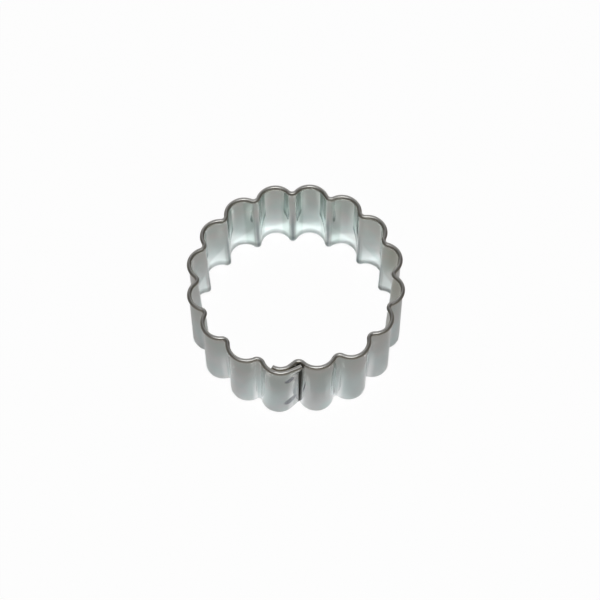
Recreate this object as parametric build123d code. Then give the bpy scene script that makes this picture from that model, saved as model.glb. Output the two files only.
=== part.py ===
"""Fluted round biscuit cutter.

One strip of bright sheet is hemmed along its top edge, pressed into a ring of flutes, and closed where its
two ends lap at the front. Two spot welds hold the lap. The cutter stands on its cutting edge at z = 0, with
the ring's axis on +Z and the lap at -Y. All sizes are in millimetres and all angles in degrees.
"""

from build123d import *
from dataclasses import dataclass
from math import atan2, cos, degrees, hypot, pi, radians, sin, sqrt, tan
import os

# The ring
flute_count = 16
outer_diameter = 48.0          # over the rim, across two opposite flutes
total_height = 20.0            # cutting edge to the top of the rim
strip_thickness = 0.28

# The flutes, by their depth and the valleys' bend radius on the strip's centreline. The hem is stiff, so
# the flutes are a little shallower at the rim than at the cutting edge.
rim_flute_depth = 2.07
rim_valley_radius = 1.33
edge_flute_depth = 2.6
edge_valley_radius = 0.8

# The hem: the strip's top edge is rolled outwards and closes back on the wall, as a narrow teardrop
hem_bore_radius = 0.2
hem_lean = 20.0                # how far each side of the teardrop leans towards the other
hem_offset = 0.1               # how far the roll's middle stands outside the wall's centreline
hem_edge_gap = 0.03            # from the strip's raw edge to the wall
neck_bend_radius = 1.2         # the wall's gentle bend below the hem

# The lap. At the rim the two hems lie side by side, and lower down the sheets are squeezed together, so
# the flutes beside the lap shift more at the rim than lower down. The shifts are shares of the distance
# between the layers' centrelines, and the straight runs are shares of the distance between flutes. The
# squeeze also turns the last flute back a little at the cutting edge and folds its tail into the valley.
lap_clearance = 0.04           # between the two layers
lap_end_angle = 25.0           # where the inner layer starts, before the last flute's middle
lap_flank_share = 0.127        # the inner layer's straight run from the lap to the front valley
rim_first_inset_share = 0.85   # how far the first flute after the lap stands in, at the rim
rim_last_outset_share = 0.15   # how far the last flute, which holds the lap, stands out
rim_tail_angle = 35.0          # where the outer layer runs on straight, after the last flute's middle
rim_tail_share = 0.3
sheet_first_inset_share = 1.1
sheet_last_outset_share = -0.1
neck_tail_angle = 44.0
neck_tail_share = 0.185
edge_tail_angle = 55.0
edge_tail_share = 0.262
edge_turn_back = 1.4

# The spot welds, and the marks that the electrodes leave: a flat tip outside and a domed one inside
upper_weld_angle = 40.0        # after the last flute's middle
upper_weld_below_rim = 5.3
lower_weld_angle = 48.0
lower_weld_above_edge = 4.2
nugget_radius = 0.95
flat_tip_radius = 1.2
flat_tip_taper = 30.0
domed_tip_radius = 2.4
mark_depth = 0.06

# Worked out from the sizes above
front = -90.0
up = Vector(0, 0, 1)
flute_step = 360 / flute_count
half_sheet = strip_thickness / 2
rim_thickness = 2 * (hem_bore_radius + strip_thickness)
ring_radius = outer_diameter / 2 - hem_offset - rim_thickness / 2
flute_spacing = pi * outer_diameter / flute_count
lap_flank = lap_flank_share * flute_spacing
upper_weld_height = total_height - upper_weld_below_rim
squeezed_height = upper_weld_height + nugget_radius
welds = ((upper_weld_height, upper_weld_angle), (lower_weld_above_edge, lower_weld_angle))
sheet_pitch = strip_thickness + lap_clearance
hem_pitch = rim_thickness + lap_clearance

# The hem's teardrop in the strip's section, with x outwards from the wall's centreline and y up
roll_radius = hem_bore_radius + half_sheet
roll_middle = Vector(hem_offset, total_height - rim_thickness / 2)
lean_sine = sin(radians(hem_lean))
lean_cosine = cos(radians(hem_lean))
leg_length = (roll_radius * lean_cosine - hem_offset) / lean_sine
leg_foot_height = roll_middle.Y - roll_radius * lean_sine - leg_length * lean_cosine
neck_height = leg_foot_height - neck_bend_radius * tan(radians(hem_lean / 2))
closing_length = (hem_bore_radius * lean_cosine - hem_edge_gap / 2) / lean_sine


def polar(radius, angle):
    """A point in plan, at this radius and angle about the origin."""
    return Vector(radius * cos(radians(angle)), radius * sin(radians(angle)))


def nearest_turn(angle, last_angle):
    """The same angle, within half a turn of the one before."""
    return last_angle + (angle - last_angle + 180) % 360 - 180


@dataclass
class Flute:
    """A flute's circle in plan, for the strip's centreline. Middle is the angle it points at."""

    centre: Vector
    radius: float
    middle: float


@dataclass
class Bend:
    """A stretch of the strip on an arc. The turn is positive in a flute and negative in a valley."""

    centre: Vector
    radius: float
    start: float
    turn: float

    def point(self, share, outwards=0):
        side = outwards if self.turn > 0 else -outwards
        return self.centre + polar(self.radius + side, self.start + self.turn * share)

    def edge(self, outwards):
        return ThreePointArc(*(self.point(share, outwards) for share in (0, 1 / 2, 1)))

    def form(self, section):
        axis = Axis(self.centre, up * self.turn)
        return revolve(section_plane(self) * section, axis=axis, revolution_arc=abs(self.turn))


@dataclass
class Run:
    """A straight stretch of the strip. Heading is the angle along which it goes."""

    begin: Vector
    heading: float
    length: float

    def point(self, share, outwards=0):
        along = polar(self.length * share, self.heading)
        return self.begin + along + polar(outwards, self.heading - 90)

    def edge(self, outwards):
        return Line(self.point(0, outwards), self.point(1, outwards))

    def form(self, section):
        return extrude(section_plane(self) * section, amount=self.length, dir=polar(1, self.heading))


def section_plane(stretch):
    """The upright plane across the strip where a stretch starts, with x outwards and y up."""
    across = stretch.point(0, half_sheet) - stretch.point(0)
    return Plane(stretch.point(0), x_dir=across, z_dir=across.cross(up))


@dataclass
class Level:
    """What sets the strip's path in plan at one height."""

    height: float
    flute_depth: float
    valley_radius: float
    lap_pitch: float
    first_inset_share: float
    last_outset_share: float
    turn_back: float
    tail_angle: float
    tail_length: float

    @property
    def flute_radius(self):
        """The bend radius at which flutes and valleys of this depth meet smoothly, with no flank."""
        valley_reach = ring_radius - self.flute_depth + self.valley_radius
        along = valley_reach * cos(radians(flute_step / 2))
        square = ring_radius**2 + valley_reach**2 - 2 * ring_radius * along - self.valley_radius**2
        return square / (2 * (ring_radius + self.valley_radius - along))

    def flute(self, number):
        """One flute, counted round from the first after the lap."""
        shift = 0
        middle = front + flute_step * (number + 1 / 2)
        if number == 0:
            shift = -self.first_inset_share * self.lap_pitch
        if number == flute_count - 1:
            shift = self.last_outset_share * self.lap_pitch
            middle -= self.turn_back
        return Flute(polar(ring_radius - self.flute_radius + shift, middle), self.flute_radius, middle)

    def lap(self):
        """The inner layer's bend, which follows the last flute from inside."""
        last = self.flute(flute_count - 1)
        return Flute(last.centre, self.flute_radius - self.lap_pitch, last.middle - 360)

    def valley_centre(self, flute, following, flank):
        """The middle of the valley that joins two flutes, with a straight flank before it."""
        reach = hypot(flute.radius + self.valley_radius, flank)
        far_reach = following.radius + self.valley_radius
        across = following.centre - flute.centre
        along = (reach**2 - far_reach**2 + across.length**2) / (2 * across.length)
        out = sqrt(reach**2 - along**2)
        return flute.centre + across.normalized() * along + across.cross(up).normalized() * out


def bearing(start, end):
    """The angle from one point in plan to another."""
    return degrees(atan2(end.Y - start.Y, end.X - start.X))


def strip_path(level):
    """The strip's centreline in plan: its stretches from the inner end round to the outer end."""
    flutes = [level.lap()] + [level.flute(number) for number in range(flute_count)]
    start = flutes[0].middle - lap_end_angle
    flank = lap_flank
    stretches = []
    for flute, following in zip(flutes, flutes[1:]):
        centre = level.valley_centre(flute, following, flank)
        crossing = degrees(atan2(flute.radius + level.valley_radius, flank))
        leave = nearest_turn(bearing(flute.centre, centre) + crossing - 90, start)
        stretches.append(Bend(flute.centre, flute.radius, start, leave - start))
        if flank:
            stretches.append(Run(stretches[-1].point(1), leave + 90, flank))
        meet = nearest_turn(bearing(following.centre, centre), leave)
        stretches.append(Bend(centre, level.valley_radius, leave + 180, meet - leave))
        start = meet
        flank = 0
    last = flutes[-1]
    leave = last.middle + level.tail_angle
    stretches.append(Bend(last.centre, last.radius, start, leave - start))
    stretches.append(Run(stretches[-1].point(1), leave + 90, level.tail_length))
    return stretches


def sheet_level(height):
    """The path where the lapped sheets are squeezed together. The flutes grow deeper on the way down."""

    def blend(edge_value, neck_value):
        return edge_value + (neck_value - edge_value) * height / neck_height

    return Level(
        height,
        blend(edge_flute_depth, rim_flute_depth),
        blend(edge_valley_radius, rim_valley_radius),
        sheet_pitch,
        sheet_first_inset_share,
        sheet_last_outset_share,
        blend(edge_turn_back, 0),
        blend(edge_tail_angle, neck_tail_angle),
        blend(edge_tail_share, neck_tail_share) * flute_spacing,
    )


rim_level = Level(
    neck_height,
    rim_flute_depth,
    rim_valley_radius,
    hem_pitch,
    rim_first_inset_share,
    rim_last_outset_share,
    0,
    rim_tail_angle,
    rim_tail_share * flute_spacing,
)


def cut_across(level):
    """The strip cut level at one height: a thin fluted ring with lapped ends."""
    stretches = strip_path(level)
    first, last = stretches[0], stretches[-1]
    sides = [stretch.edge(side) for stretch in stretches for side in (-half_sheet, half_sheet)]
    ends = [
        Line(first.point(0, -half_sheet), first.point(0, half_sheet)),
        Line(last.point(1, -half_sheet), last.point(1, half_sheet)),
    ]
    return Location(up * level.height) * make_face(sides + ends)


def wall():
    """The strip from its cutting edge up to the neck below the hem."""
    levels = [sheet_level(0), sheet_level(squeezed_height), rim_level]
    faces = [cut_across(level) for level in levels]
    return loft(faces[:2], ruled=True) + loft(faces[1:], ruled=True)


def hem_section():
    """The strip's section above the neck: a bend inwards, a leg, the roll, and the closing leg."""
    leg_side = Vector(-lean_cosine, -lean_sine)
    closing_side = Vector(lean_cosine, -lean_sine)
    closing_run = Vector(-lean_sine, -lean_cosine) * closing_length
    bend_middle = Vector(-neck_bend_radius, neck_height)
    outlines = []
    for side in (-half_sheet, half_sheet):
        bend_radius = neck_bend_radius + side
        bend_points = [bend_middle + polar(bend_radius, hem_lean * share) for share in (0, 1 / 2, 1)]
        roll_start = roll_middle + leg_side * (roll_radius - side)
        roll_top = roll_middle + Vector(0, roll_radius - side)
        roll_end = roll_middle + closing_side * (roll_radius - side)
        outlines += [
            ThreePointArc(*bend_points),
            Line(bend_points[-1], roll_start),
            ThreePointArc(roll_start, roll_top, roll_end),
            Line(roll_end, roll_end + closing_run),
        ]
    neck = Line(Vector(-half_sheet, neck_height), Vector(half_sheet, neck_height))
    raw_edge = Line(outlines[3] @ 1, outlines[7] @ 1)
    return make_face(outlines + [neck, raw_edge])


def hem():
    """The hemmed rim, bent stretch by stretch along the rim's path."""
    section = hem_section()
    return [stretch.form(section) for stretch in strip_path(rim_level)]


def weld_plane(height, angle):
    """The plane at a weld, midway between the layers, with z outwards through the lap."""
    last = sheet_level(height).flute(flute_count - 1)
    through = polar(1, last.middle + angle)
    middle = last.centre + through * (last.radius - sheet_pitch / 2) + up * height
    return Plane(middle, x_dir=up, z_dir=through)


def nugget(height, angle):
    """A spot weld's round nugget of fused metal. It reaches halfway into each layer and bends with them."""
    lap = sheet_level(height).flute(flute_count - 1)
    bend = extrude(Circle(lap.radius) - Circle(lap.radius - sheet_pitch), amount=nugget_radius, both=True)
    core = Cylinder(nugget_radius, 2 * nugget_radius)
    return Location(lap.centre + up * height) * bend & weld_plane(height, angle) * core


def electrode_tips():
    """The tips that press the layers together: a flat one outside and a domed one inside."""
    face = sheet_pitch / 2 + half_sheet
    length = flat_tip_radius
    shank_radius = flat_tip_radius + length * tan(radians(flat_tip_taper))
    flat_tip = Cone(flat_tip_radius, shank_radius, length, align=(Align.CENTER, Align.CENTER, Align.MIN))
    domed_tip = Sphere(domed_tip_radius)
    return Pos(0, 0, face - mark_depth) * flat_tip + Pos(0, 0, mark_depth - face - domed_tip_radius) * domed_tip


def spot_welds():
    return [nugget(*weld) for weld in welds]


def cutter_band():
    """The whole strip, marked by the electrodes and with room for the fused metal."""
    band = wall() + hem()
    marks = [weld_plane(*weld) * electrode_tips() for weld in welds]
    return band - marks - spot_welds()


os.makedirs("parts", exist_ok=True)
export_step(cutter_band(), "parts/cutter_band.step")
export_step(Compound(children=spot_welds()), "parts/spot_welds.step")
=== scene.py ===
"""A small round fluted biscuit cutter, dressed around its CAD model.

The sections follow the cutter as it is made: the strip's path round the flutes, the hemmed strip itself,
its bright metal, and the two spot welds. The table, the light and the camera come last. Sizes are in metres.
"""

import cmath
from math import atan2, cos, hypot, pi, radians, sin, sqrt, tan

import bpy
from mathutils import Matrix, Vector


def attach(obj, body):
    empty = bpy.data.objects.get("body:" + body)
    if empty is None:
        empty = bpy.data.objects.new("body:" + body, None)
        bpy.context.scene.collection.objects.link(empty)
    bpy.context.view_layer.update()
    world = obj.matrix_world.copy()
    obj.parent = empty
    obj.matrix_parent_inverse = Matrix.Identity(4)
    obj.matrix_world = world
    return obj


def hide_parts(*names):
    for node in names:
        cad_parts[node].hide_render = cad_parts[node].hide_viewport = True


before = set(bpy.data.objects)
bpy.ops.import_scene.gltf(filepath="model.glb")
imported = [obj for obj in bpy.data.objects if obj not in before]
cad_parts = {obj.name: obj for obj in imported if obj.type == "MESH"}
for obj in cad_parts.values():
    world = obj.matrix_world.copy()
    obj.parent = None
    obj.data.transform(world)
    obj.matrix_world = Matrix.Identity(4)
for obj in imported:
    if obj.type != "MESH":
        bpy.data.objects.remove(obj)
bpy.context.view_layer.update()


# The ring's plan. A die presses the bright strip into sixteen flutes. Its two ends lap inside the last
# flute, at the front, and the flutes beside the lap shift to make room for both layers.
mm = 0.001
flute_count = 16
outer_radius = 24 * mm
strip_thickness = 0.28 * mm
hem_bore_radius = 0.2 * mm
hem_offset = 0.1 * mm
lap_clearance = 0.04 * mm
lap_end_angle = radians(25)
half_step = pi / flute_count
front = -pi / 2
hem_thickness = 2 * (hem_bore_radius + strip_thickness)
ring_radius = outer_radius - hem_offset - hem_thickness / 2
flute_spacing = 2 * half_step * outer_radius
lap_flank = 0.127 * flute_spacing
sheet_pitch = strip_thickness + lap_clearance
hem_pitch = hem_thickness + lap_clearance
edge_plan = {
    "depth": 2.6 * mm,
    "valley_radius": 0.8 * mm,
    "layer_pitch": sheet_pitch,
    "first_inset": 1.1 * sheet_pitch,
    "last_outset": -0.1 * sheet_pitch,
    "turned_back": radians(1.4),
    "tail_angle": radians(55),
    "tail_length": 0.262 * flute_spacing,
}
neck_plan = {
    **edge_plan,
    "depth": 2.07 * mm,
    "valley_radius": 1.33 * mm,
    "turned_back": 0,
    "tail_angle": radians(44),
    "tail_length": 0.185 * flute_spacing,
}
rim_plan = {
    **neck_plan,
    "layer_pitch": hem_pitch,
    "first_inset": 0.85 * hem_pitch,
    "last_outset": 0.15 * hem_pitch,
    "tail_angle": radians(35),
    "tail_length": 0.3 * flute_spacing,
}


def nearest_turn(angle, last_angle):
    """The same angle, within half a turn of the one before."""
    return last_angle + (angle - last_angle + pi) % (2 * pi) - pi


def flute_radius(plan):
    """The bend radius at which the plan's flutes and valleys meet smoothly."""
    valley_reach = ring_radius - plan["depth"] + plan["valley_radius"]
    along = valley_reach * cos(half_step)
    square = ring_radius**2 + valley_reach**2 - 2 * ring_radius * along - plan["valley_radius"] ** 2
    return square / (2 * (ring_radius + plan["valley_radius"] - along))


def strip_stretches(plan):
    """Where the strip starts, its heading there, and its stretches as pairs of length and turn."""
    flute, valley = flute_radius(plan), plan["valley_radius"]
    middles = [front + half_step * (2 * number + 1) for number in range(-1, flute_count)]
    middles[0] -= plan["turned_back"]
    middles[-1] -= plan["turned_back"]
    shifts = [0] * len(middles)
    shifts[0] = shifts[-1] = plan["last_outset"]
    shifts[1] = -plan["first_inset"]
    centres = [cmath.rect(ring_radius - flute + shift, middle) for middle, shift in zip(middles, shifts)]
    radii = [flute - plan["layer_pitch"]] + [flute] * flute_count
    flanks = [lap_flank] + [0] * flute_count
    begin = angle = middles[0] - lap_end_angle
    stretches = []
    for number in range(flute_count):
        centre, following = centres[number], centres[number + 1]
        radius, flank = radii[number], flanks[number]
        across = following - centre
        reach = hypot(radius + valley, flank)
        along = (reach**2 - (flute + valley) ** 2 + abs(across) ** 2) / (2 * abs(across))
        valley_centre = centre + across / abs(across) * complex(along, -sqrt(reach**2 - along**2))
        leave = cmath.phase(valley_centre - centre) + atan2(radius + valley, flank) - pi / 2
        leave = nearest_turn(leave, angle)
        meet = nearest_turn(cmath.phase(valley_centre - following), leave)
        stretches.append((radius * (leave - angle), leave - angle))
        if flank:
            stretches.append((flank, 0))
        stretches.append((valley * (leave - meet), meet - leave))
        angle = meet
    turn = middles[-1] + plan["tail_angle"] - angle
    stretches += [(flute * turn, turn), (plan["tail_length"], 0)]
    return centres[0] + cmath.rect(radii[0], begin), begin + pi / 2, stretches


def drawn_spans(stretches):
    """The curve spans for the stretches: one for each straight run and two for each arc."""
    spans = []
    for length, turn in stretches:
        spans += [(length / 2, turn / 2)] * 2 if turn else [(length, turn)]
    return spans


def drawn_line(name, start, heading, stretches, steps):
    """A curve object along the stretches."""
    spans = drawn_spans(stretches)
    curve = bpy.data.curves.new(name, "CURVE")
    curve.dimensions = "2D"
    curve.resolution_u = steps
    curve.fill_mode = "NONE"
    spline = curve.splines.new("BEZIER")
    spline.bezier_points.add(len(spans))
    place, handle_before = start, 0
    for point, (length, turn) in zip(spline.bezier_points, spans + [(0, 0)]):
        handle = 4 / 3 * tan(turn / 4) * length / turn if turn else length / 3
        before = place - cmath.rect(handle_before, heading)
        after = place + cmath.rect(handle, heading)
        point.handle_left_type = point.handle_right_type = "FREE"
        point.co = (place.real, place.imag, 0)
        point.handle_left = (before.real, before.imag, 0)
        point.handle_right = (after.real, after.imag, 0)
        chord = length * sin(turn / 2) / (turn / 2) if turn else length
        place += cmath.rect(chord, heading + turn / 2)
        heading += turn
        handle_before = handle
    line = bpy.data.objects.new(name, curve)
    bpy.context.collection.objects.link(line)
    return line


# The band: one strip of bright sheet. Its top edge bends slightly inwards and is then rolled outwards into
# a narrow hem, so that the hand presses on a smooth rim. Its bottom edge is left as the slitter cut it.
total_height = 20 * mm
hem_lean = radians(20)
hem_edge_gap = 0.03 * mm
neck_bend_radius = 1.2 * mm
squeezed_height = 15.65 * mm
path_steps = 10
section_steps = 6
wall_spans = 4
roll_radius = hem_bore_radius + strip_thickness / 2
roll_turn = pi + 2 * hem_lean
neck_bend_reach = neck_bend_radius * tan(hem_lean / 2)
leaning_length = (roll_radius * cos(hem_lean) - hem_offset) / sin(hem_lean)
closing_length = (hem_bore_radius * cos(hem_lean) - hem_edge_gap / 2) / sin(hem_lean)
roll_foot_height = total_height - hem_thickness / 2 - roll_radius * sin(hem_lean)
neck_height = roll_foot_height - leaning_length * cos(hem_lean) - neck_bend_reach
section_stretches = [(neck_height / wall_spans, 0)] * wall_spans + [
    (neck_bend_radius * hem_lean, hem_lean),
    (leaning_length - neck_bend_reach, 0),
    (roll_radius * roll_turn, -roll_turn),
    (closing_length, 0),
]
strip_section = drawn_line("strip_section", 0j, pi / 2, section_stretches, section_steps)


def bent_strip(name, plan):
    """The strip's middle surface, bent along one plan for its whole height."""
    strip = drawn_line(name, *strip_stretches(plan), path_steps)
    strip.data.bevel_mode = "OBJECT"
    strip.data.bevel_object = strip_section
    bpy.ops.object.select_all(action="DESELECT")
    strip.select_set(True)
    bpy.context.view_layer.objects.active = strip
    bpy.ops.object.convert(target="MESH")
    return strip


def smooth_step(value, low, high):
    """0 below low, 1 above high, and an even ramp between them."""
    share = min(max((value - low) / (high - low), 0), 1)
    return share * share * (3 - 2 * share)


# The strip follows the rim's plan in the hem, and lower down it blends from the neck's plan to the edge's.
band = bent_strip("fluted_band", rim_plan)
at_neck = bent_strip("at_neck", neck_plan)
at_edge = bent_strip("at_edge", edge_plan)
bpy.ops.object.select_all(action="DESELECT")
for strip in (at_neck, at_edge, band):
    strip.select_set(True)
bpy.context.view_layer.objects.active = band
bpy.ops.object.join_shapes()
neck_group = band.vertex_groups.new(name="at_neck")
edge_group = band.vertex_groups.new(name="at_edge")
for vertex in band.data.vertices:
    squeezed = 1 - smooth_step(vertex.co.z, squeezed_height, neck_height)
    lowness = 1 - min(vertex.co.z / neck_height, 1)
    neck_group.add([vertex.index], squeezed * (1 - lowness), "REPLACE")
    edge_group.add([vertex.index], squeezed * lowness, "REPLACE")
for name in ("at_neck", "at_edge"):
    key = band.data.shape_keys.key_blocks[name]
    key.vertex_group = name
    key.value = 1
band.active_shape_key_index = 0
bpy.ops.object.shape_key_remove(all=True, apply_mix=True)
for spare in (at_neck, at_edge, strip_section):
    bpy.data.objects.remove(spare)

# The mesh stands in columns along the strip. The lapped flute takes three spans, two for its bend and one for
# its flank. After it a valley and a flute take two each, so a flute's middle comes every four spans.
column_height = section_steps * len(drawn_spans(section_stretches)) + 1
column_count = len(band.data.vertices) // column_height
lapped_flute_spans = 3
lapped_flute_middle = 1
next_flute_middle = 6
flute_spans = 4


def place_in_bend(spans_along):
    """0 at a flute's middle, 1 where it meets the valley and 2 at the valley's middle."""
    if spans_along <= lapped_flute_spans:
        return min(abs(spans_along - lapped_flute_middle), 1)
    return 2 - abs((spans_along - next_flute_middle) % flute_spans - 2)


bend_place = band.data.attributes.new("bend_place", "FLOAT", "POINT")
for number, item in enumerate(bend_place.data):
    item.value = place_in_bend(number // column_height / path_steps)

# Painted shade: a near-black, dull coat lies in the deep valley beside the outer layer's end, which
# is in shadow, and on that end.
crevice_shade_starts = 1
crevice_shade_full = 2
crevice_shade_fades = 4.45
crevice_shade_gone = 5.1
shaded_end_columns = 1.6
last_column = column_count - 1
painted_crevice_shade = band.data.attributes.new("painted_crevice_shade", "FLOAT", "POINT")
for number, item in enumerate(painted_crevice_shade.data):
    column = number // column_height
    spans_along = column / path_steps
    started = smooth_step(spans_along, crevice_shade_starts, crevice_shade_full)
    faded = smooth_step(spans_along, crevice_shade_fades, crevice_shade_gone)
    on_end = smooth_step(column, last_column - shaded_end_columns, last_column)
    in_hem = smooth_step(band.data.vertices[number].co.z, squeezed_height, neck_height)
    item.value = max(started * (1 - faded), on_end) * (1 - in_hem)

# The flat electrode tips leave two shallow marks in the outer layer. The sheet is refined under each first.
mark_depth = 0.06 * mm
mark_tilt = radians(30)
mark_flat = 0.75
mark_foot = 1.1
refining_cuts = 3
outer_layer_spans = 3
outer_layer_start = (last_column - outer_layer_spans * path_steps) * column_height
band.data.attributes.new("weld_mark", "FLOAT", "POINT")
bpy.context.tool_settings.mesh_select_mode = (False, False, True)
for height, angle, mark_half_width, mark_half_height in (
    (14.7 * mm, radians(40), 1.25 * mm, 1 * mm),
    (4.3 * mm, radians(52), 1.75 * mm, 1.4 * mm),
):
    lowness = 1 - height / neck_height
    radius = flute_radius(neck_plan) + (flute_radius(edge_plan) - flute_radius(neck_plan)) * lowness
    middle = front - half_step - edge_plan["turned_back"] * lowness
    bend_centre = cmath.rect(ring_radius - radius + edge_plan["last_outset"], middle)
    place = bend_centre + cmath.rect(radius, middle + angle)
    place = Vector((place.real, place.imag, height))
    outwards = Vector((cos(middle + angle), sin(middle + angle), 0))
    sideways = Vector((-outwards.y, outwards.x, 0))
    bpy.ops.object.mode_set(mode="EDIT")
    bpy.ops.mesh.select_all(action="DESELECT")
    bpy.ops.object.mode_set(mode="OBJECT")
    refined_reach = 2 * mark_half_width
    for face in band.data.polygons:
        on_outer_layer = min(face.vertices) >= outer_layer_start
        face.select = on_outer_layer and (face.center - place).length < refined_reach
    bpy.ops.object.mode_set(mode="EDIT")
    bpy.ops.mesh.subdivide(number_cuts=refining_cuts, smoothness=1)
    bpy.ops.object.mode_set(mode="OBJECT")
    mark = band.data.attributes["weld_mark"]
    for vertex in band.data.vertices:
        if vertex.index < outer_layer_start:
            continue
        from_middle = vertex.co - place
        from_middle = complex(from_middle.dot(sideways), from_middle.z) * cmath.rect(1, -mark_tilt)
        reach = hypot(from_middle.real / mark_half_width, from_middle.imag / mark_half_height)
        pressed = 1 - smooth_step(reach, mark_flat, mark_foot)
        if pressed:
            vertex.co -= outwards * mark_depth * pressed
            mark.data[vertex.index].value = pressed

# The surface gets the sheet's thickness, half of it to each side.
gauge = band.modifiers.new("gauge", "SOLIDIFY")
gauge.thickness = strip_thickness
gauge.offset = 0
gauge.use_even_offset = True
bpy.ops.object.modifier_apply(modifier=gauge.name)
bpy.ops.object.mode_set(mode="EDIT")
bpy.ops.mesh.select_all(action="SELECT")
bpy.ops.mesh.normals_make_consistent(inside=False)
bpy.ops.object.mode_set(mode="OBJECT")
bpy.ops.object.shade_smooth_by_angle(angle=radians(50))

# The painted crevice shade and the weld marks show only on the outside.
vertices = band.data.vertices
half = len(vertices) // 2
first_half_outside = vertices[0].co.xy.length > vertices[half].co.xy.length
inner_half = range(half, len(vertices)) if first_half_outside else range(half)
inner_side = band.data.attributes.new("inner_side", "FLOAT", "POINT")
for number in inner_half:
    inner_side.data[number].value = 1
    for name in ("painted_crevice_shade", "weld_mark"):
        band.data.attributes[name].data[number].value = 0

# The ring isn't quite true. The doubled lap has spread the flutes beside it, most at the rim, and hands have
# turned and shifted the cutting edge a little against the rim.
lap_spread = 0.45 * mm
lap_shift = 0.15 * mm
spread_at_edge = 0.4
edge_shift = 0.14 * mm
edge_skew = 0.005
edge_twist = 0.0215
for vertex in vertices:
    lowness = 1 - vertex.co.z / neck_height
    place = complex(*vertex.co.xy)
    from_front = cmath.phase(place / cmath.rect(1, front))
    if abs(from_front) < pi / 2:
        moved = lap_spread * sin(2 * from_front) + lap_shift * cos(from_front) ** 2
        place *= cmath.rect(1, moved / abs(place) * (1 - (1 - spread_at_edge) * lowness))
        vertex.co.xy = place.real, place.imag
    across, depth = vertex.co.xy
    vertex.co.x += (edge_shift + edge_skew * depth) * lowness
    vertex.co.y -= edge_twist * across * lowness


def feed(tree, node, inputs):
    """Gives a node's inputs their values, or links them to other nodes' outputs."""
    for name, value in dict(inputs).items():
        if isinstance(value, bpy.types.NodeSocket):
            tree.links.new(value, node.inputs[name])
        else:
            node.inputs[name].default_value = value


def new_node(tree, kind, inputs=(), **settings):
    """Adds a node with these settings and inputs."""
    node = tree.nodes.new(kind)
    for name, value in settings.items():
        setattr(node, name, value)
    feed(tree, node, inputs)
    return node


def computed(tree, operation, *values):
    """A number from others."""
    return new_node(tree, "ShaderNodeMath", dict(enumerate(values)), operation=operation).outputs[0]


def masked(tree, value, low, high):
    """A mask that rises smoothly from 0 at the low value to 1 at the high one."""
    inputs = {"Value": value, "From Min": low, "From Max": high}
    return new_node(tree, "ShaderNodeMapRange", inputs, interpolation_type="SMOOTHSTEP").outputs["Result"]


def blended(tree, mask, first, second):
    """The first number where the mask is 0 and the second where it is 1."""
    return new_node(tree, "ShaderNodeMix", {0: mask, 2: first, 3: second}).outputs[0]


def mixed(tree, mask, first, second):
    """The first colour where the mask is 0 and the second where it is 1."""
    inputs = {0: mask, 6: first, 7: second}
    return new_node(tree, "ShaderNodeMix", inputs, data_type="RGBA").outputs[2]


def noise(tree, place, frequency, detail, **more):
    """Soft random values about 0.5."""
    inputs = {"Vector": place, "Scale": frequency, "Detail": detail, **more}
    return new_node(tree, "ShaderNodeTexNoise", inputs).outputs["Fac"]


def position_in_mm(tree):
    """The place on the object, in millimetres."""
    place = new_node(tree, "ShaderNodeTexCoord").outputs["Object"]
    return new_node(tree, "ShaderNodeVectorMath", {0: place, "Scale": 1 / mm}, operation="SCALE").outputs[0]


# Uneven metal: soft patches of two tones, and a haze of fingerprints and handling that dulls the shine.
uneven_metal = bpy.data.node_groups.new("uneven_metal", "ShaderNodeTree")
for name, direction, kind in (
    ("Position", "INPUT", "NodeSocketVector"),
    ("Patch Frequency", "INPUT", "NodeSocketFloat"),
    ("Tone A", "INPUT", "NodeSocketColor"),
    ("Tone B", "INPUT", "NodeSocketColor"),
    ("Clean Roughness", "INPUT", "NodeSocketFloat"),
    ("Hazy Roughness", "INPUT", "NodeSocketFloat"),
    ("Color", "OUTPUT", "NodeSocketColor"),
    ("Roughness", "OUTPUT", "NodeSocketFloat"),
):
    uneven_metal.interface.new_socket(name, in_out=direction, socket_type=kind)
given = new_node(uneven_metal, "NodeGroupInput").outputs
patches = noise(uneven_metal, given["Position"], given["Patch Frequency"], 3, Roughness=0.55)
patches = masked(uneven_metal, patches, 0.38, 0.64)
haze_frequency = computed(uneven_metal, "MULTIPLY", given["Patch Frequency"], 2.7)
haze = noise(uneven_metal, given["Position"], haze_frequency, 5, Roughness=0.6, Distortion=0.6)
haze = masked(uneven_metal, haze, 0.42, 0.72)
new_node(uneven_metal, "NodeGroupOutput", {
    "Color": mixed(uneven_metal, patches, given["Tone A"], given["Tone B"]),
    "Roughness": blended(uneven_metal, haze, given["Clean Roughness"], given["Hazy Roughness"]),
})

bright_strip = bpy.data.materials.new("bright_strip")
bright_strip.use_nodes = True
tree = bright_strip.node_tree
position = position_in_mm(tree)
metal = new_node(tree, "ShaderNodeGroup", {
    "Position": position,
    "Patch Frequency": 0.16,
    "Tone A": (0.69, 0.77, 0.765, 1),
    "Tone B": (0.74, 0.76, 0.76, 1),
    "Clean Roughness": 0.05,
    "Hazy Roughness": 0.1,
}, node_tree=uneven_metal).outputs


def stored(tree, name):
    """The value that the mesh holds under this name."""
    return new_node(tree, "ShaderNodeAttribute", attribute_name=name).outputs["Fac"]


def below(tree, value, low, high):
    """A mask that falls smoothly from 1 at the low value to 0 at the high one."""
    return computed(tree, "SUBTRACT", 1, masked(tree, value, low, high))


def all_of(tree, *masks):
    """The masks multiplied together."""
    whole = masks[0]
    for mask in masks[1:]:
        whole = computed(tree, "MULTIPLY", whole, mask)
    return whole


def tinted(tree, color, mask, tint):
    """The colour multiplied by the tint where the mask is 1."""
    inputs = {0: 1, 6: color, 7: mixed(tree, mask, (1, 1, 1, 1), tint)}
    return new_node(tree, "ShaderNodeMix", inputs, data_type="RGBA", blend_type="MULTIPLY").outputs[2]


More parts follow.
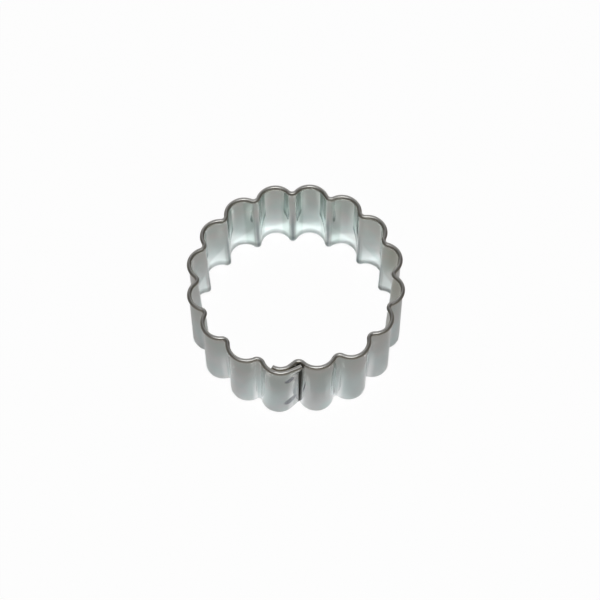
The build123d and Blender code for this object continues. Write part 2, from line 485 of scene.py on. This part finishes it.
# The masks tell apart the wall's two sides, the places in the flutes and the millimetres each way.
axes = new_node(tree, "ShaderNodeSeparateXYZ", {0: position}).outputs
rightwards, backwards, height = axes["X"], axes["Y"], axes["Z"]
placed = stored(tree, "bend_place")
inner = stored(tree, "inner_side")
outer = computed(tree, "SUBTRACT", 1, inner)
in_flute = below(tree, placed, 0.9, 1.3)
in_valley = masked(tree, placed, 1.5, 1.9)

# Painted highlight: the inside of the flutes is painted brighter low down, over the bright patches that
# the walls mirror there, less high at their middles than at their sides. The lower corners between the
# outer flutes and valleys carry painted highlights too.
rise_at_sides = computed(tree, "MULTIPLY", all_of(tree, placed, placed), 4.5)
above_caustic_band = computed(tree, "SUBTRACT", height, rise_at_sides)
painted_caustic_band = all_of(tree, inner, in_flute, masked(tree, height, 0.6, 1.3), below(tree, above_caustic_band, 2.6, 4.2))
corners = all_of(tree, masked(tree, placed, 0.72, 0.95), below(tree, placed, 1.15, 1.4))
painted_corner_highlights = all_of(tree, outer, corners, below(tree, height, 4, 12))
color = mixed(tree, painted_caustic_band, metal["Color"], (0.89, 0.945, 0.945, 1))
color = mixed(tree, painted_corner_highlights, color, (0.98, 1, 1, 1))

# Painted shade: the sides of the back flutes are darker and greener, and the wall's inner foot and
# the low valleys inside are darker. More painted shade: the outside is darker, a little more so low
# down, the walls darken and warm towards the rim, and the right wall and the back half way up are
# darker. The left wall is a little darker and cooler half way up.
flute_sides = all_of(tree, masked(tree, placed, 0.45, 0.62), below(tree, placed, 1.3, 1.7))
shaded_back_flanks = all_of(tree, inner, flute_sides, masked(tree, backwards, 14, 20))
shaded_inner_foot = all_of(tree, inner, below(tree, height, 1.2, 2.6))
shaded_low_valleys = all_of(tree, inner, in_valley, below(tree, height, 7, 14))
shaded_towards_rim = masked(tree, height, 7, 18)
shaded_right_wall = all_of(tree, inner, masked(tree, rightwards, 18, 22.5), masked(tree, height, 4, 14))
left_wall = all_of(tree, inner, below(tree, rightwards, -22.5, -18), masked(tree, height, 4, 10))
half_way_up = all_of(tree, masked(tree, height, 4.5, 8), below(tree, height, 11, 16))
shaded_back_wall = all_of(tree, inner, masked(tree, backwards, 19, 22), below(tree, placed, 1, 1.5), half_way_up)
shaded_outer_foot = all_of(tree, outer, below(tree, height, 3, 10))
for mask, tint in (
    (shaded_back_flanks, (0.8, 0.845, 0.825, 1)),
    (shaded_inner_foot, (0.61, 0.62, 0.62, 1)),
    (shaded_low_valleys, (0.66, 0.7, 0.72, 1)),
    (shaded_towards_rim, (0.93, 0.9, 0.86, 1)),
    (shaded_right_wall, (0.73, 0.72, 0.66, 1)),
    (left_wall, (0.91, 0.92, 0.93, 1)),
    (shaded_back_wall, (0.89, 0.925, 0.92, 1)),
    (outer, (0.885, 0.885, 0.89, 1)),
    (shaded_outer_foot, (0.96, 0.96, 0.96, 1)),
):
    color = tinted(tree, color, mask, tint)

# Bending has dulled the rim to satin, and its tone is painted darker and browner, painted shade for the
# dim warm room it mirrors, with its top greyer so that the lamp's highlight there shows white. The cut
# edge has its own grey, painted brighter inside, painted light against the shade it mirrors from the
# table at its foot. The weld marks have their own tone, and the deep crevice a near-black painted shade.
on_rim = masked(tree, height, 18.5, 19.1)
on_top = masked(tree, height, 19.86, 19.98)
marked = stored(tree, "weld_mark")
crevice_shaded = stored(tree, "painted_crevice_shade")
for mask, tone in (
    (on_rim, mixed(tree, on_top, (0.46, 0.44, 0.39, 1), (0.43, 0.43, 0.42, 1))),
    (below(tree, height, 0.1, 0.5), mixed(tree, inner, (0.63, 0.65, 0.65, 1), (0.76, 0.78, 0.78, 1))),
    (marked, (0.26, 0.275, 0.295, 1)),
    (crevice_shaded, (0.03, 0.034, 0.02, 1)),
):
    color = mixed(tree, mask, color, tone)
roughness = metal["Roughness"]
for mask, rough in ((on_rim, 0.4), (marked, 0.28), (crevice_shaded, 0.6)):
    roughness = blended(tree, mask, roughness, rough)

# Fine rolling lines run along the strip, and handling has left shallow dents.
path = new_node(tree, "ShaderNodeUVMap", uv_map="UVMap").outputs["UV"]
along = new_node(tree, "ShaderNodeSeparateXYZ", {0: path}).outputs["X"]
along = computed(tree, "MULTIPLY", along, 25)
drawn_out = new_node(tree, "ShaderNodeCombineXYZ", {"X": along, "Z": height}).outputs[0]
rolling_lines = noise(tree, drawn_out, 6, 2)
dents = noise(tree, position, 0.3, 1)
lined = new_node(tree, "ShaderNodeBump", {"Height": rolling_lines, "Strength": 1, "Distance": 0.0004 * mm})
dented = new_node(tree, "ShaderNodeBump", {
    "Height": dents, "Strength": 1, "Distance": 0.02 * mm, "Normal": lined.outputs[0],
})
# Where the crevice shade is painted, the sheet is dull and not metal.
feed(tree, tree.nodes["Principled BSDF"], {
    "Base Color": color,
    "Roughness": roughness,
    "Metallic": computed(tree, "SUBTRACT", 1, crevice_shaded),
    "Normal": dented.outputs[0],
})
band.data.materials.clear()
band.data.materials.append(bright_strip)
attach(band, "root")
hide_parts("cutter_band")


# The spot welds: two nuggets of fused metal that hold the lapped layers together, one near the rim and one
# near the cutting edge. The sheet melted there between two electrodes, and the heat left it dull and mottled.
weld_metal = bpy.data.materials.new("weld_metal")
weld_metal.use_nodes = True
tree = weld_metal.node_tree
position = position_in_mm(tree)
metal = new_node(tree, "ShaderNodeGroup", {
    "Position": position,
    "Patch Frequency": 2.5,
    "Tone A": (0.33, 0.34, 0.37, 1),
    "Tone B": (0.47, 0.44, 0.4, 1),
    "Clean Roughness": 0.35,
    "Hazy Roughness": 0.55,
}, node_tree=uneven_metal).outputs
pits = noise(tree, position, 6, 3)
pitted = new_node(tree, "ShaderNodeBump", {"Height": pits, "Strength": 1, "Distance": 0.02 * mm})
feed(tree, tree.nodes["Principled BSDF"], {
    "Base Color": metal["Color"],
    "Roughness": metal["Roughness"],
    "Metallic": 1,
    "Normal": pitted.outputs[0],
})
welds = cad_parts["spot_welds"]
welds.data.materials.clear()
welds.data.materials.append(weld_metal)


# The table: a plain white surface. To the eye it is near white all over, and in the metal it shows its own
# light and shade, with a little of the same white.
table_side = 4
white_to_eye = 0.97
white_in_metal = 0.05
bpy.ops.mesh.primitive_plane_add(size=table_side)
table = bpy.context.object
table.name = "table"
white_table = bpy.data.materials.new("white_table")
white_table.use_nodes = True
tree = white_table.node_tree
surface = tree.nodes["Principled BSDF"]
grain = masked(tree, noise(tree, position_in_mm(tree), 0.05, 6), 0.3, 0.7)
feed(tree, surface, {
    "Base Color": mixed(tree, grain, (0.84, 0.84, 0.84, 1), (0.86, 0.86, 0.86, 1)),
    "Specular IOR Level": 0,
})
ray = new_node(tree, "ShaderNodeLightPath").outputs
seen = computed(tree, "MULTIPLY", ray["Is Camera Ray"], white_to_eye)
through_metal = computed(tree, "ADD", ray["Is Glossy Ray"], ray["Is Transmission Ray"])
mirrored = computed(tree, "MULTIPLY", through_metal, white_in_metal)
glow = new_node(tree, "ShaderNodeEmission")
whitened = new_node(tree, "ShaderNodeMixShader", {
    0: computed(tree, "ADD", seen, mirrored), 1: surface.outputs[0], 2: glow.outputs[0],
})
feed(tree, tree.nodes["Material Output"], {"Surface": whitened.outputs[0]})
table.data.materials.append(white_table)


def way_to(azimuth, elevation):
    """The unit vector that way from the cutter."""
    level_reach = cos(elevation)
    return Vector((level_reach * cos(azimuth), level_reach * sin(azimuth), sin(elevation)))


def area_lamp(name, width, depth, power, place):
    """A soft lamp at the place, facing the cutter."""
    data = bpy.data.lights.new(name, "AREA")
    data.shape = "RECTANGLE"
    data.size = width
    data.size_y = depth
    data.energy = power
    lamp = bpy.data.objects.new(name, data)
    bpy.context.collection.objects.link(lamp)
    lamp.location = place
    lamp.rotation_euler = lamp.location.to_track_quat("Z", "Y").to_euler()
    return lamp


# The light: a soft lamp high in front. The metal throws its light back onto the table, and those bright
# patches show again low on the walls. A wide card behind the cutter gives the rim its pale edge.
lamp_distance = 1
lamp_way = way_to(radians(-90), radians(72))
area_lamp("key_lamp", width=0.34, depth=0.2, power=4.2, place=lamp_way * lamp_distance)
far_card = area_lamp("far_card", width=1.6, depth=0.8, power=4, place=(0, 0.9, 0.48))
far_card.visible_diffuse = False
bpy.context.scene.cycles.blur_glossy = 0

# The room round them is dim and warm in the metal, and near white to the camera.
world = bpy.data.worlds.new("studio")
bpy.context.scene.world = world
world.use_nodes = True
tree = world.node_tree
to_camera = new_node(tree, "ShaderNodeLightPath").outputs["Is Camera Ray"]
air = mixed(tree, to_camera, (0.07, 0.061, 0.052, 1), (0.98, 0.98, 0.98, 1))
feed(tree, tree.nodes["Background"], {"Color": air})


# The camera stands in front of the seam, a little to its left, and looks steeply down at the rim's middle.
# Its shift puts the cutter where the photograph has it in the frame.
camera_distance = 0.432
camera_roll = 0.0113
camera_data = bpy.data.cameras.new("camera")
camera_data.sensor_width = 36
camera_data.lens = 119.2
camera_data.shift_x = 0.00738
camera_data.shift_y = -0.0397
camera_data.clip_start = 0.01
camera = bpy.data.objects.new("camera", camera_data)
bpy.context.collection.objects.link(camera)
camera_way = way_to(radians(-92.56), radians(60.45))
camera.location = Vector((0, 0, total_height)) + camera_way * camera_distance
turned = camera_way.to_track_quat("Z", "Y").to_matrix() @ Matrix.Rotation(camera_roll, 3, "Z")
camera.rotation_euler = turned.to_euler()
bpy.context.scene.camera = camera

bpy.context.scene.view_settings.view_transform = "Standard"
